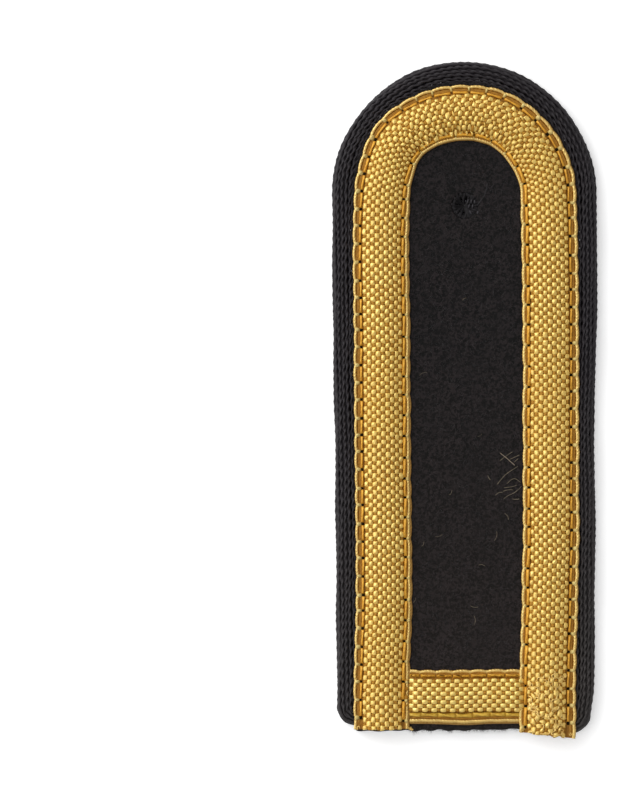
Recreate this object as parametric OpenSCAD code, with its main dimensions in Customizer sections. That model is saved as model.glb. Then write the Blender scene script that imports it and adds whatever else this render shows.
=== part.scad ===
// Shoulder board with gold lace, lying flat on its underside.
// X runs across it, Y along it towards the round button end, and Z up from the underside.

/* [Board] */
// Length of the whole board, from its raw end to the top of the round end
board_l = 114; // [95:1:150]
// Width over the edging at the round end
board_w = 45; // [42:0.5:56]
// Thickness of the cloth-covered pad
pad_t = 2.6; // [2:0.1:4]
// Inward lean of each long side, in degrees
side_lean = 0.42; // [0.2:0.02:0.8]
// Slant of the raw end, in degrees, with the right side lower
end_slant = 1.9; // [0:0.1:3]

/* [Edging] */
// Width of the edging cord
cord_w = 3.25; // [2.8:0.05:4]
// Height of the edging cord above the cloth
cord_rise = 0.25; // [0.1:0.05:0.6]
// Distance by which the ends of the edging stay short of the raw end
cord_short = 0.6; // [0.2:0.1:3]

/* [Gold lace] */
// Width of the lace
lace_w = 9.8; // [8:0.1:11]
// Inward lean of each leg of the arch, in degrees
lace_lean = 0.2; // [0:0.02:0.4]
// Radius of the selvedge cord along each edge of the lace
selvedge_r = 0.27; // [0.2:0.01:0.35]
// Thickness of the flat margins of the lace, where it is sewn down
margin_t = 0.32; // [0.2:0.02:0.4]
// Width of the raised woven band in the middle
band_w = 6.5; // [5:0.1:7]
// Height of the raised woven band
band_h = 1.25; // [0.8:0.05:1.8]
// Distance from the raw end to the cross bar, at the middle
bar_back = 0.95; // [0.8:0.05:6]

/* [Button hole] */
// Distance from the top of the round end to the centre of the button hole
hole_back = 24.4; // [21:0.1:40]
// Diameter of the free hole through the eyelet
bore_d = 2.2; // [1.6:0.1:2.6]
// Diameter of the thread-worked eyelet
eyelet_d = 4.2; // [3.6:0.1:5]
// Depth of the eyelet's mouth below the cloth
eyelet_sink = 0.2; // [0.05:0.05:0.5]
// Height of the straight throat of the eyelet
throat_h = 1.2; // [0.8:0.1:1.6]
// Width of the rolled thread rim of the eyelet
rim_w = 0.35; // [0.2:0.05:0.5]

/* [Fit] */
// Gap between neighbouring pieces
gap = 0.05; // [0.03:0.01:0.1]

/* [Hidden] */
$fn = 96;
navy = "#26252b";
cloth = "#1f1e24";
gold = "#c49a4e";
thread = "#2c2b31";

// Radii of the round end, from the outside in
cord_out_r = board_w / 2;
cord_in_r = cord_out_r - cord_w;
lace_out_r = cord_in_r - gap;
pad_r = cord_in_r - gap;
lace_mid_r = lace_out_r - lace_w / 2;
lace_in_r = lace_out_r - lace_w;

// Places along the board: the centre of the round end and the middle of the raw end
arch_y = board_l / 2 - cord_out_r;
end_half = lace_out_r - (arch_y + board_l / 2) * tan(lace_lean);
end_y = -board_l / 2 + end_half * tan(end_slant);
hole_y = board_l / 2 - hole_back;
leg_run = arch_y - end_y;

// The edging has a low shoulder on its inner side, so that the lace can lie over it
overhang = leg_run * (tan(side_lean) - tan(lace_lean));
shoulder_w = max(overhang, 0) + gap;
cord_h = pad_t + cord_rise;
cord_round = min(cord_h / 2, cord_w - shoulder_w - cord_rise);

// The cross bar fills the width between the legs of the arch
bar_y = end_y + bar_back + lace_w / 2;
bar_half = lace_in_r - leg_run * tan(lace_lean) - gap;
lace_z = pad_t + gap;
cut_size = 2 * board_l;

// Points on an arc about a centre, from one angle to another
function arc(centre, r, from, to, steps) =
    [for (i = [0 : steps]) let (a = from + (to - from) * i / steps) centre + r * [cos(a), sin(a)]];

// Points on the raised band, which is half an ellipse
function crown(half, foot, rise, steps) =
    [for (i = [0 : steps]) let (a = 180 * i / steps) [half * cos(a), foot + rise * sin(a)]];

// Section of the edging, with its inner side at zero
edging_section = concat(
    [[0, 0]],
    arc([cord_w - cord_round, cord_round], cord_round, -90, 0, 5),
    arc([cord_w - cord_round, cord_h - cord_round], cord_round, 0, 90, 5),
    arc([shoulder_w + cord_rise, pad_t], cord_rise, 90, 180, 3),
    [[0, pad_t]]
);

// Section of the lace, with its middle at zero: selvedge, sewn margin, raised band, margin, selvedge
selvedge_x = lace_w / 2 - selvedge_r;
lace_section = concat(
    [[-lace_w / 2, 0], [lace_w / 2, 0]],
    arc([selvedge_x, margin_t], selvedge_r, 0, 180, 6),
    crown(band_w / 2, margin_t, band_h - margin_t, 16),
    arc([-selvedge_x, margin_t], selvedge_r, 0, 180, 6)
);

// Outline of the pad: a round end and two leaning sides
module pad_outline() {
    foot_x = pad_r - board_l * tan(side_lean);
    foot_y = arch_y - board_l;
    polygon(concat(
        arc([0, arch_y], pad_r, -side_lean, 180 + side_lean, 60),
        [[-foot_x, foot_y], [foot_x, foot_y]]
    ));
}

// Everything beyond the slanted raw end
module past_end() {
    translate([0, end_y, -board_l / 2])
        rotate([0, 0, -end_slant])
            translate([-cut_size / 2, -cut_size, 0])
                cube([cut_size, cut_size, board_l]);
}

// Carries a section round the arch, from one leaning leg to the other
module round_arch(r, lean) {
    translate([0, arch_y, 0])
        rotate([0, 0, -lean])
            rotate_extrude(angle = 180 + 2 * lean)
                translate([r, 0])
                    children();
}

// Carries a section down the right-hand leg
module right_leg(r, lean, run) {
    translate([0, arch_y, 0])
        rotate([0, 0, -lean])
            rotate([90, 0, 0])
                linear_extrude(run)
                    translate([r, 0])
                        children();
}

// The run of one edging leg, to where its end begins to turn in: side is 1 on the right
function edging_run(side) =
    (leg_run - cord_short - cord_w + side * cord_in_r * sin(end_slant)) / cos(side_lean);

module edging_leg(side) {
    run = edging_run(side);
    mirror([side > 0 ? 0 : 1, 0, 0]) {
        right_leg(cord_in_r, side_lean, run)
            polygon(edging_section);
        translate([0, arch_y, 0])
            rotate([0, 0, -side_lean])
                translate([cord_in_r, -run, 0])
                    edging_end();
    }
}

// Rounded end of one edging leg, with the shoulder carried on straight under the lace
module edging_end() {
    difference() {
        rotate([0, 0, -90])
            rotate_extrude(angle = 90)
                polygon(edging_section);
        translate([-gap, -2 * cord_w, pad_t])
            cube([shoulder_w + gap, 2 * cord_w, cord_h]);
    }
}

module board() {
    color(cloth)
        difference() {
            linear_extrude(pad_t)
                pad_outline();
            past_end();
            translate([0, hole_y, -gap])
                cylinder(d = eyelet_d + 2 * gap, h = pad_t + 2 * gap);
        }
}

module edge_cord() {
    color(navy) {
        round_arch(cord_in_r, side_lean)
            polygon(edging_section);
        edging_leg(1);
        edging_leg(-1);
    }
}

module lace_arch() {
    color(gold)
        translate([0, 0, lace_z])
            difference() {
                union() {
                    round_arch(lace_mid_r, lace_lean)
                        polygon(lace_section);
                    for (side = [0, 1])
                        mirror([side, 0, 0])
                            right_leg(lace_mid_r, lace_lean, board_l)
                                polygon(lace_section);
                }
                past_end();
            }
}

module lace_bar() {
    color(gold)
        translate([-bar_half, bar_y, lace_z])
            rotate([90, 0, 90])
                linear_extrude(2 * bar_half)
                    polygon(lace_section);
}

module eyelet() {
    mouth_z = pad_t - eyelet_sink;
    color(thread)
        translate([0, hole_y, 0])
            rotate_extrude()
                polygon([
                    [bore_d / 2, 0],
                    [eyelet_d / 2, 0],
                    [eyelet_d / 2, mouth_z],
                    [eyelet_d / 2 - rim_w, mouth_z],
                    [bore_d / 2, throat_h]
                ]);
}

board();
edge_cord();
lace_arch();
lace_bar();
eyelet();
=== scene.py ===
import math

import bpy
import numpy as np
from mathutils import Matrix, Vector


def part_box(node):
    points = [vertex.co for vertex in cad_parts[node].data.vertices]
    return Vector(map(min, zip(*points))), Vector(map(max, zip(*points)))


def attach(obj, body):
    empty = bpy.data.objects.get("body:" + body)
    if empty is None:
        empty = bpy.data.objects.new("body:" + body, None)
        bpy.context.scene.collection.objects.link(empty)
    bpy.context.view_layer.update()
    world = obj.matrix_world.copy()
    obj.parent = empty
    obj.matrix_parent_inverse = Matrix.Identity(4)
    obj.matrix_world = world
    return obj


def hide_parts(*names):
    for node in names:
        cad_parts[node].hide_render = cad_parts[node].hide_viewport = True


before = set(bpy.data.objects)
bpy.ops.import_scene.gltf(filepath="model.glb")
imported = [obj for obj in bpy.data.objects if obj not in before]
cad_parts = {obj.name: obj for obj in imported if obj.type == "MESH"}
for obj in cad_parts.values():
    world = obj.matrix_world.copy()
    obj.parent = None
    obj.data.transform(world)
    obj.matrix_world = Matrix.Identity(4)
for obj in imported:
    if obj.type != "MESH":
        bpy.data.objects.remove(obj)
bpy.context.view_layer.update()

mm = 0.001

edgeLow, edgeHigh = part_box("edge_cord")
laceLow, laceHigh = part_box("lace_arch")
barLow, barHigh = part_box("lace_bar")
padLow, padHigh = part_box("board")
eyeLow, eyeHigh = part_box("eyelet")

# the plan of the board, read from the frame
plan = {
    "archY": edgeHigh.y - edgeHigh.x,
    "edgeR": edgeHigh.x,
    "edgeHeight": edgeHigh.z,
    "laceR": laceHigh.x,
    "laceWidth": barHigh.y - barLow.y,
    "laceFoot": laceLow.z,
    "lowestY": laceLow.y,
    "sideLean": math.radians(0.42),
    "laceLean": math.radians(0.2),
    "endSlant": math.radians(1.9),
}
plan["laceMidR"] = plan["laceR"] - plan["laceWidth"] / 2
endHalf = plan["laceR"] - (plan["archY"] - plan["lowestY"]) * math.tan(plan["laceLean"])
plan["endY"] = plan["lowestY"] + endHalf * math.tan(plan["endSlant"])
print("read the plan of the board from the frame")


def deselectAll():
    if bpy.context.mode != "OBJECT":
        bpy.ops.object.mode_set(mode="OBJECT")
    bpy.ops.object.select_all(action="DESELECT")


def pick(obj):
    deselectAll()
    obj.select_set(True)
    bpy.context.view_layer.objects.active = obj


def applyModifier(obj, kind, **settings):
    pick(obj)
    modifier = obj.modifiers.new(kind, kind)
    for name, value in settings.items():
        setattr(modifier, name, value)
    bpy.ops.object.modifier_apply(modifier=modifier.name)


def repeat(obj, count, step, merge=False):
    # an array with a constant step, applied
    applyModifier(obj, "ARRAY", count=count, use_relative_offset=False, use_constant_offset=True,
                  constant_offset_displace=step, use_merge_vertices=merge,
                  merge_threshold=0.002 * mm)


def settle(obj):
    # puts an object's place into its mesh
    pick(obj)
    bpy.ops.object.transform_apply(location=True, rotation=True, scale=True)


def copyOf(obj, name, move=(0, 0, 0)):
    twin = obj.copy()
    twin.data = obj.data.copy()
    twin.name = name
    bpy.context.collection.objects.link(twin)
    twin.location = Vector(twin.location) + Vector(move)
    settle(twin)
    return twin


def join(objects, name):
    pick(objects[0])
    for obj in objects:
        obj.select_set(True)
    if len(objects) > 1:
        bpy.ops.object.join()
    whole = bpy.context.view_layer.objects.active
    whole.name = name
    whole.data.name = name
    return whole


def getPoints(obj):
    points = np.empty(len(obj.data.vertices) * 3)
    obj.data.vertices.foreach_get("co", points)
    return points.reshape(-1, 3)


def setPoints(obj, points):
    obj.data.vertices.foreach_set("co", points.ravel())
    obj.data.update()


def smooth(obj):
    pick(obj)
    bpy.ops.object.shade_smooth()


def extrudeRings(name, sides, rings, lobes=0, depth=0.0, radius=1.0, section=None):
    # a tube along X: each ring is (x, y, z, half width, half height, turn in degrees);
    # section gives its points in place of a circle
    x, y, z, wide, high, turn = rings[0]
    deselectAll()
    bpy.ops.mesh.primitive_circle_add(vertices=sides, radius=radius, location=(x, y, z), fill_type="NOTHING",
                                      rotation=(math.pi / 2, 0, math.pi / 2))
    tube = bpy.context.active_object
    tube.name = name
    settle(tube)
    points = getPoints(tube)
    if lobes:
        angle = np.arctan2(points[:, 2] - z, points[:, 1] - y)
        points[:, 1:] = (y, z) + (points[:, 1:] - (y, z)) * (1 - depth + depth * np.cos(lobes * angle))[:, None]
    if section:
        angle = np.round(np.arctan2(points[:, 2] - z, points[:, 1] - y), 4) % (2 * math.pi)
        points[np.argsort(angle), 1:] = np.array(section) + (y, z)
    points[:, 1:] = (y, z) + (points[:, 1:] - (y, z)) * (wide, high)
    setPoints(tube, points)
    bpy.ops.object.mode_set(mode="EDIT")
    bpy.ops.mesh.select_all(action="SELECT")
    for ring, before in zip(rings[1:], rings[:-1]):
        step = tuple(ring[i] - before[i] for i in range(3))
        bpy.ops.mesh.extrude_region_move(TRANSFORM_OT_translate={"value": step})
        centre = ring[:3]
        if ring[3:5] != before[3:5]:
            bpy.ops.transform.resize(value=(1, ring[3] / before[3], ring[4] / before[4]),
                                     center_override=centre)
        if ring[5] != before[5]:
            bpy.ops.transform.rotate(value=math.radians(ring[5] - before[5]), orient_axis="X",
                                     center_override=centre)
    bpy.ops.mesh.select_all(action="SELECT")
    bpy.ops.mesh.normals_make_consistent(inside=False)
    bpy.ops.object.mode_set(mode="OBJECT")
    return tube


def makePath(name, points):
    # an open flat curve for a piece to follow; it is taken away once all pieces are made
    curve = bpy.data.curves.new(name, "CURVE")
    curve.dimensions = "2D"
    spline = curve.splines.new("POLY")
    spline.points.add(len(points) - 1)
    spline.points.foreach_set("co", np.c_[points, np.zeros(len(points)), np.ones(len(points))].ravel())
    path = bpy.data.objects.new(name, curve)
    bpy.context.collection.objects.link(path)
    return path


def archLine(radius, lean, runLeft, runRight, step, turnR=0.0, turnAngle=0.0):
    # from the left foot up, round the arch and down to the right foot; with turnR the feet turn in
    archLength = radius * (math.pi + 2 * lean)
    turnLength = turnR * turnAngle
    total = runLeft + archLength + runRight + 2 * turnLength
    s = np.linspace(0, total, int(total / step) + 1)
    bend = np.zeros_like(s)
    inTurn1 = s < turnLength
    bend[inTurn1] = s[inTurn1] * (turnAngle / max(turnLength, 1e-9))
    first = turnLength + runLeft
    inArch = (s >= first) & (s < first + archLength)
    bend[~inTurn1] = turnAngle
    bend[inArch] = turnAngle + (s[inArch] - first) / radius
    past = s >= first + archLength
    bend[past] = turnAngle + math.pi + 2 * lean
    inTurn2 = s > total - turnLength
    bend[inTurn2] += (s[inTurn2] - (total - turnLength)) * (turnAngle / max(turnLength, 1e-9))
    heading = math.pi / 2 + lean + turnAngle - bend
    ds = np.diff(s)
    middle = (heading[1:] + heading[:-1]) / 2
    x = np.r_[0, np.cumsum(np.cos(middle) * ds)]
    y = np.r_[0, np.cumsum(np.sin(middle) * ds)]
    # the arch is centred on the board's axis, with its top at the right place
    at = np.argmin(abs(s - (first + archLength / 2)))
    x += -x[at]
    y += plan["archY"] + radius - y[at]
    return np.c_[x, y], total


def bendAlong(obj, path):
    applyModifier(obj, "CURVE", object=path, deform_axis="POS_X")


def waves(seed, count, shortest, longest):
    # a smooth random field over (x, y), about -1 to 1
    rng = np.random.default_rng(seed)
    length = rng.uniform(shortest, longest, count)
    angle = rng.uniform(0, 2 * math.pi, count)
    phase = rng.uniform(0, 2 * math.pi, count)
    kx, ky = 2 * math.pi / length * np.cos(angle), 2 * math.pi / length * np.sin(angle)

    def field(x, y):
        total = np.zeros_like(x)
        for i in range(count):
            total += np.sin(kx[i] * x + ky[i] * y + phase[i])
        return total / math.sqrt(count)
    return field


def easeStep(value, low, high):
    t = np.clip((value - low) / (high - low), 0, 1)
    return t * t * (3 - 2 * t)


def hill(value, middle, width):
    return np.exp(-((value - middle) / width) ** 2)


def scatter(obj, count, place):
    # copies of one small shape in one mesh, each put in its own place by place(points)
    size = len(obj.data.vertices)
    repeat(obj, count, (0, 0, 0))
    points = getPoints(obj).reshape(count, size, 3)
    setPoints(obj, place(points).reshape(-1, 3))


def markFlat(obj):
    # keeps the unrolled place of each point, in millimetres, for the material
    flat = obj.data.attributes.new("flat", "FLOAT_VECTOR", "POINT")
    flat.data.foreach_set("vector", (getPoints(obj) / mm).ravel())


def trim(obj, point, normal):
    # takes off what lies past a plane and closes the cut
    pick(obj)
    bpy.ops.object.mode_set(mode="EDIT")
    bpy.ops.mesh.select_all(action="SELECT")
    bpy.ops.mesh.bisect(plane_co=point, plane_no=normal, clear_outer=True, use_fill=True)
    bpy.ops.object.mode_set(mode="OBJECT")


# the lace in its flat frame: x along it, y across it towards the outside, z up from its margins
lace = {
    "cell": 0.71 * mm,
    "columns": 9,
    "crownHalf": 3.13 * mm,
    "crownRise": 1.0 * mm,
    "crownPower": 2.3,
    "crownAt": -0.22 * mm,
    "thick": 0.22 * mm,
    "edge": 4.66 * mm,
    "outerAt": 4.74 * mm,
    "innerAt": 4.42 * mm,
    "selvedgeR": 0.33 * mm,
    "scallop": 0.2 * mm,
    "outerHole": 3.84 * mm,
    "innerHole": 3.76 * mm,
    "outerStrands": (4.13 * mm, 4.35 * mm),
    "innerStrands": (4.05 * mm, 4.2 * mm),
    "foot": -55.85 * mm,
    "spare": 1.2 * mm,
    "footBack": 1.05 * mm,
    "shift": 0.28 * mm,
    "archPack": 0.8,
}
lace["level"] = plan["laceFoot"] + lace["thick"]

acrossY = np.linspace(-6 * mm, 6 * mm, 4801)
acrossZ = lace["crownRise"] * np.clip(1 - abs(acrossY / lace["crownHalf"]) ** lace["crownPower"], 0, None)
acrossL = np.r_[0, np.cumsum(np.hypot(np.diff(acrossY), np.diff(acrossZ)))]
acrossL -= np.interp(0, acrossY, acrossL)
slopeY, slopeZ = np.gradient(acrossY, acrossL), np.gradient(acrossZ, acrossL)
lace["reach"] = float(np.interp(lace["crownHalf"], acrossY, acrossL))
lace["column"] = 2 * lace["reach"] / lace["columns"]

runLeft = plan["archY"] - plan["laceMidR"] * math.sin(plan["laceLean"]) - lace["foot"] + lace["spare"]
runRight = runLeft + lace["foot"] - plan["lowestY"]
laceLine, laceLong = archLine(plan["laceMidR"], plan["laceLean"], runLeft, runRight, 0.4 * mm)

# the real lace isn't laid quite true: the arch is a little tight, and both legs lie to the right
fromArch = laceLine - (0, plan["archY"])
bearing = np.degrees(np.arctan2(fromArch[:, 1], fromArch[:, 0])) % 360
tight = -0.2 - 0.27 * hill(bearing, 98, 30) + 0.25 * hill(bearing, 140, 15)
tight -= 0.36 * hill(bearing, 163, 16) + 0.12 * hill(bearing, 38, 20)
tight *= easeStep(fromArch[:, 1], -7 * mm, 0)
laceLine += tight[:, None] * mm * fromArch / np.hypot(*fromArch.T)[:, None]
downward = -laceLine[:, 1] / mm
laceLine[:, 0] += lace["shift"] * easeStep(downward, -34, -10)
leftBow = 0.02 + 0.2 * easeStep(downward, -8, 34) - 0.48 * easeStep(downward, 33, 50) + 0.15 * hill(downward, -32, 6)
rightBow = 0.2 + 0.17 * hill(downward, 22, 10) + 0.1 * hill(downward, 4, 20) - 0.28 * easeStep(downward, 32, 50)
laceLine[:, 0] += np.where(laceLine[:, 0] > 0, rightBow, leftBow) * mm * easeStep(downward, -42, -33)
lacePath = makePath("lacePath", laceLine)
archLong = plan["laceMidR"] * (math.pi + 2 * plan["laceLean"])
archFrom, archTo = runLeft, runLeft + archLong
footSlope = 0.112

# the weave is packed closer where it goes round the arch
alongS = np.linspace(0, laceLong, 6000)
packed = easeStep(alongS, archFrom - 3 * mm, archFrom + 6 * mm) * \
    (1 - easeStep(alongS, archTo - 6 * mm, archTo + 3 * mm))
rate = 1 - (1 - lace["archPack"]) * packed
alongM = np.r_[0, np.cumsum(np.diff(alongS) / rate[1:])]
lace["rows"] = int(alongM[-1] / lace["cell"]) + 2
print("lace", round(laceLong / mm, 1), "mm long,", lace["rows"], "crossings")

driftX, driftY = waves(3, 16, 3 * mm, 15 * mm), waves(4, 16, 3 * mm, 15 * mm)
driftZ = waves(5, 14, 4 * mm, 12 * mm)
fineX, fineY = waves(12, 18, 0.9 * mm, 2.4 * mm), waves(13, 18, 0.9 * mm, 2.4 * mm)
fineZ = waves(14, 18, 0.8 * mm, 2.2 * mm)
ruckX, ruckY = waves(6, 12, 1.8 * mm, 4 * mm), waves(7, 12, 1.8 * mm, 4 * mm)
ruckZ = waves(8, 12, 1.6 * mm, 3.2 * mm)


def gathers(x, y):
    # folds of the weave that run towards the arch's centre, closest at its inner side
    rng = np.random.default_rng(11)
    total = np.zeros_like(x)
    for i in range(9):
        length = rng.uniform(1.0, 2.6) * mm
        total += np.sin(2 * math.pi * (x + rng.uniform(-0.5, 0.5) * y) / length + rng.uniform(0, 6.3))
    return total / 3


def unsettle(points, woven):
    # small shifts of the lace that keep neighbouring threads together
    x, y = points[:, 0].copy(), points[:, 1].copy()
    s = np.interp(x, alongM, alongS) if woven else x
    arch = easeStep(s, archFrom + 4 * mm, archFrom + 13 * mm) * (1 - easeStep(s, archTo - 13 * mm, archTo - 4 * mm))
    inner = easeStep(-y, -1.8 * mm, 2.8 * mm) * arch
    foot = easeStep(s, laceLong - 14 * mm, laceLong - 6 * mm) * (1 - easeStep(abs(y), 2.4 * mm, 4.2 * mm))
    points[:, 0] += 0.05 * mm * driftX(x, y) + (0.1 * ruckX(x, y) + 0.08 * fineX(x, y)) * mm * foot
    points[:, 1] += 0.04 * mm * driftY(x, y) + (0.1 * ruckY(x, y) + 0.08 * fineY(x, y)) * mm * foot
    points[:, 2] += 0.02 * mm * driftZ(x, y) + 0.06 * mm * foot * ruckZ(x, y)
    if woven:
        points[:, 0] += 0.075 * mm * fineX(x, y)
        points[:, 1] += 0.06 * mm * fineY(x, y)
        points[:, 2] += 0.03 * mm * fineZ(x, y)
        folds = gathers(x, y)
        points[:, 0] += 0.14 * mm * inner * folds + 0.08 * mm * arch * fineY(x, y)
        points[:, 1] -= arch * easeStep(-y, 1.6 * mm, 3.3 * mm) * (0.4 + 0.15 * folds) * mm
        points[:, 1] += (0.09 * fineX(x, y) + 0.1 * ruckY(x, y)) * mm * arch
        points[:, 2] += (0.15 * inner * folds + (0.05 * fineZ(x, y) + 0.04 * ruckZ(x, y)) * arch) * mm


def overCrown(points, middle):
    across, up = points[:, 1].copy(), points[:, 2].copy()
    points[:, 1] = middle + np.interp(across, acrossL, acrossY) - up * np.interp(across, acrossL, slopeZ)
    points[:, 2] = np.interp(across, acrossL, acrossZ) + up * np.interp(across, acrossL, slopeY)


def layOnArch(obj, woven=False, crown=True, cut=True):
    # lays a piece that is built flat along the arch of lace
    if cut:
        start, end = lace["spare"], laceLong - lace["spare"]
        if woven:
            start, end = np.interp(start, alongS, alongM), np.interp(end, alongS, alongM)
        trim(obj, (start, 0, 0), (-1, 0, 0))
        trim(obj, (end - lace["footBack"], 0, 0), (1, -footSlope, 0))
    markFlat(obj)
    points = getPoints(obj)
    unsettle(points, woven)
    if crown:
        overCrown(points, lace["crownAt"])
    if woven:
        points[:, 0] = np.interp(points[:, 0], alongM, alongS)
    points[:, 2] += lace["level"]
    setPoints(obj, points)
    bendAlong(obj, lacePath)
    smooth(obj)


bar = {
    "half": 9.6 * mm,
    "y": (barLow.y + barHigh.y) / 2 - 0.08 * mm,
    "columns": 8,
    "stretch": (1.1, 0.93, 1),
    "crownAt": 0.5 * mm,
    "flatter": 0.35,
    "pitch": 2.85 * mm,
    "upperSelvedge": 4.15 * mm,
    "lowerSelvedge": 4.5 * mm,
    "tapeEdge": 4.8 * mm,
    "upperThread": 3.42 * mm,
    "lowerThread": 3.4 * mm,
    "strands": (3.74 * mm, 3.96 * mm),
    "bow": 0.22 * mm,
}


def layOnBar(obj, crown=True):
    # lays a flat piece, centred on its own length, as the cross bar; its ends go flat under the arch
    markFlat(obj)
    points = getPoints(obj)
    x, y = points[:, 0].copy(), points[:, 1].copy()
    points[:, 0] += 0.04 * mm * driftX(x + 40 * mm, y)
    points[:, 1] += 0.035 * mm * driftY(x + 40 * mm, y) + 0.07 * mm * np.sin(x / (3.1 * mm))
    points[:, 2] += 0.015 * mm * driftZ(x + 40 * mm, y)
    if crown:
        overCrown(points, bar["crownAt"])
        points[:, 2] -= bar["flatter"] * np.interp(points[:, 1], acrossY, acrossZ)
    points[:, 1] -= bar["bow"] * hill(x, 1 * mm, 5 * mm) * easeStep(-y, 2.5 * mm, 4.4 * mm)
    low = easeStep(abs(x), bar["half"] - 1.4 * mm, bar["half"] + 0.2 * mm)
    points[:, 2] *= 1 - 0.7 * low * (points[:, 2] > 0)
    points[:, 0] += lace["shift"]
    points[:, 1] += bar["y"]
    points[:, 2] += lace["level"]
    setPoints(obj, points)
    smooth(obj)


warp = {"wide": 0.405 * mm, "high": 0.28 * mm, "over": 0.2 * mm, "under": -0.22 * mm}
weft = {"wide": 0.34 * mm, "high": 0.2 * mm, "over": 0.22 * mm, "under": -0.12 * mm}
# the section of a warp yarn: a little flat on top
flatSection = ((1, 0), (0.82, 0.58), (0.32, 0.97), (-0.32, 0.97), (-0.82, 0.58), (-1, 0), (0, -1))
# the section of a weft yarn: round where it shows
roundSection = ((1, 0), (0.7, 0.7), (0, 1), (-0.7, 0.7), (-1, 0), (0, -1))
# how high the warp lies, by its place in cells: over one weft yarn, under the next and over again
floatShape = ((0.38, 1), (0.54, 0.86), (0.69, 0.46), (1, 0), (1.31, 0.46), (1.46, 0.86), (1.62, 1), (2, 1.1),
              (2.38, 1))


def weaveWarp(name, repeats, start, columns):
    # the lengthwise yarns, each over one crosswise yarn and under the next
    cell = lace["cell"]
    rings = []
    for at, share in floatShape:
        z = warp["under"] + (warp["over"] - warp["under"]) * share
        rings.append((at * cell, 0, z, warp["wide"] * (0.72 + 0.28 * share), warp["high"], 0))
    yarn = extrudeRings(name, len(flatSection), rings, section=flatSection)
    repeat(yarn, repeats, (2 * cell, 0, 0), merge=True)
    yarns = []
    for column in range(columns):
        across = (column - (columns - 1) / 2) * lace["column"]
        yarns.append(copyOf(yarn, name, (start + (column % 2) * cell, across, 0)))
    bpy.data.objects.remove(yarn)
    return join(yarns, name)


def weaveWeft(name, rows, start, columns):
    # the crosswise yarns, from margin to margin, one row of each kind repeated along the lace
    cell, column, reach = lace["cell"], lace["column"], columns * lace["column"] / 2
    kinds = []
    for kind in (0, 1):
        rings = [(-reach - 0.25 * mm, 0, -0.02 * mm, 0.14 * mm, 0.04 * mm, 0)]
        for k in range(4 * columns + 1):
            y = -reach + k * column / 4
            # the warp of column c is over row r when c + r is even
            share = (1 - math.cos(math.pi * (y / column + (columns - 1) / 2 + kind))) / 2
            z = weft["under"] + (weft["over"] - weft["under"]) * share
            rings.append((y, 0, z, weft["wide"] * max(share ** 1.6, 0.25), weft["high"] * (0.4 + 0.6 * share), 0))
        rings.append((reach + 0.25 * mm, 0, -0.02 * mm, 0.14 * mm, 0.04 * mm, 0))
        row = extrudeRings(name, len(roundSection), rings, section=roundSection)
        pick(row)
        bpy.ops.transform.rotate(value=math.pi / 2, orient_axis="Z", center_override=(0, 0, 0))
        settle(row)
        points = getPoints(row)
        if points[0, 1] > 0:
            points[:, :2] *= -1
            setPoints(row, points)
        repeat(row, (rows + 1 - kind) // 2, (2 * cell, 0, 0))
        kinds.append(copyOf(row, name, (start + kind * cell, 0, 0)))
        bpy.data.objects.remove(row)
    return join(kinds, name)


def weaveTape(name, length, start, edge):
    # the ground of the lace: a flat strip with a low back under the raised weave
    rows, cells = int(length / (0.7 * mm)), 26
    deselectAll()
    bpy.ops.mesh.primitive_grid_add(x_subdivisions=rows, y_subdivisions=cells, size=1)
    strip = bpy.context.active_object
    strip.name = name
    strip.scale = (length, 2 * edge, 1)
    strip.location = (start + length / 2, 0, 0)
    settle(strip)
    bpy.ops.object.mode_set(mode="EDIT")
    bpy.ops.mesh.select_all(action="SELECT")
    bpy.ops.mesh.extrude_region_move(TRANSFORM_OT_translate={"value": (0, 0, -lace["thick"])})
    bpy.ops.mesh.select_all(action="SELECT")
    bpy.ops.mesh.normals_make_consistent(inside=False)
    bpy.ops.object.mode_set(mode="OBJECT")
    return strip


def makeTwist(name, lobes, depth, radius, pitch, steps, length, sides):
    # a straight twisted cord along X; each lobe moves on by one place in a pitch
    sector = 360 / lobes
    rings = [(k * pitch / steps, 0, 0, 1, 1, -k * sector / steps) for k in range(steps + 1)]
    cord = extrudeRings(name, sides, rings, lobes=lobes, depth=depth, radius=radius)
    repeat(cord, int(math.ceil(length / pitch)), (pitch, 0, 0), merge=True)
    return cord


def makeStrand(name, points, radius, sides=2):
    # a round thread through some points
    curve = bpy.data.curves.new(name, "CURVE")
    curve.dimensions = "3D"
    curve.bevel_depth = radius
    curve.bevel_resolution = sides
    curve.use_fill_caps = True
    spline = curve.splines.new("NURBS")
    spline.points.add(len(points) - 1)
    spline.points.foreach_set("co", np.c_[points, np.ones(len(points))].ravel())
    spline.use_endpoint_u = True
    spline.order_u = 4
    spline.resolution_u = 3
    strand = bpy.data.objects.new(name, curve)
    bpy.context.collection.objects.link(strand)
    pick(strand)
    bpy.ops.object.convert(target="MESH")
    return bpy.context.active_object


# the arch of lace
rng = np.random.default_rng(21)
holeAt = {1: lace["outerHole"], -1: lace["innerHole"]}
strandsAt = {1: lace["outerStrands"], -1: lace["innerStrands"]}


def walk(start, end, pitch, spread):
    places, at = [], start
    while at < end:
        places.append(at)
        at += pitch(at) * rng.uniform(1 - spread, 1 + spread)
    return np.array(places)


def pitchAt(side):
    straight = 2.95 * mm if side > 0 else 3.35 * mm
    bent = 3.2 * mm * plan["laceMidR"] / (plan["laceMidR"] + side * holeAt[side])
    return lambda s: bent if archFrom < s < archTo else straight


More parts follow.
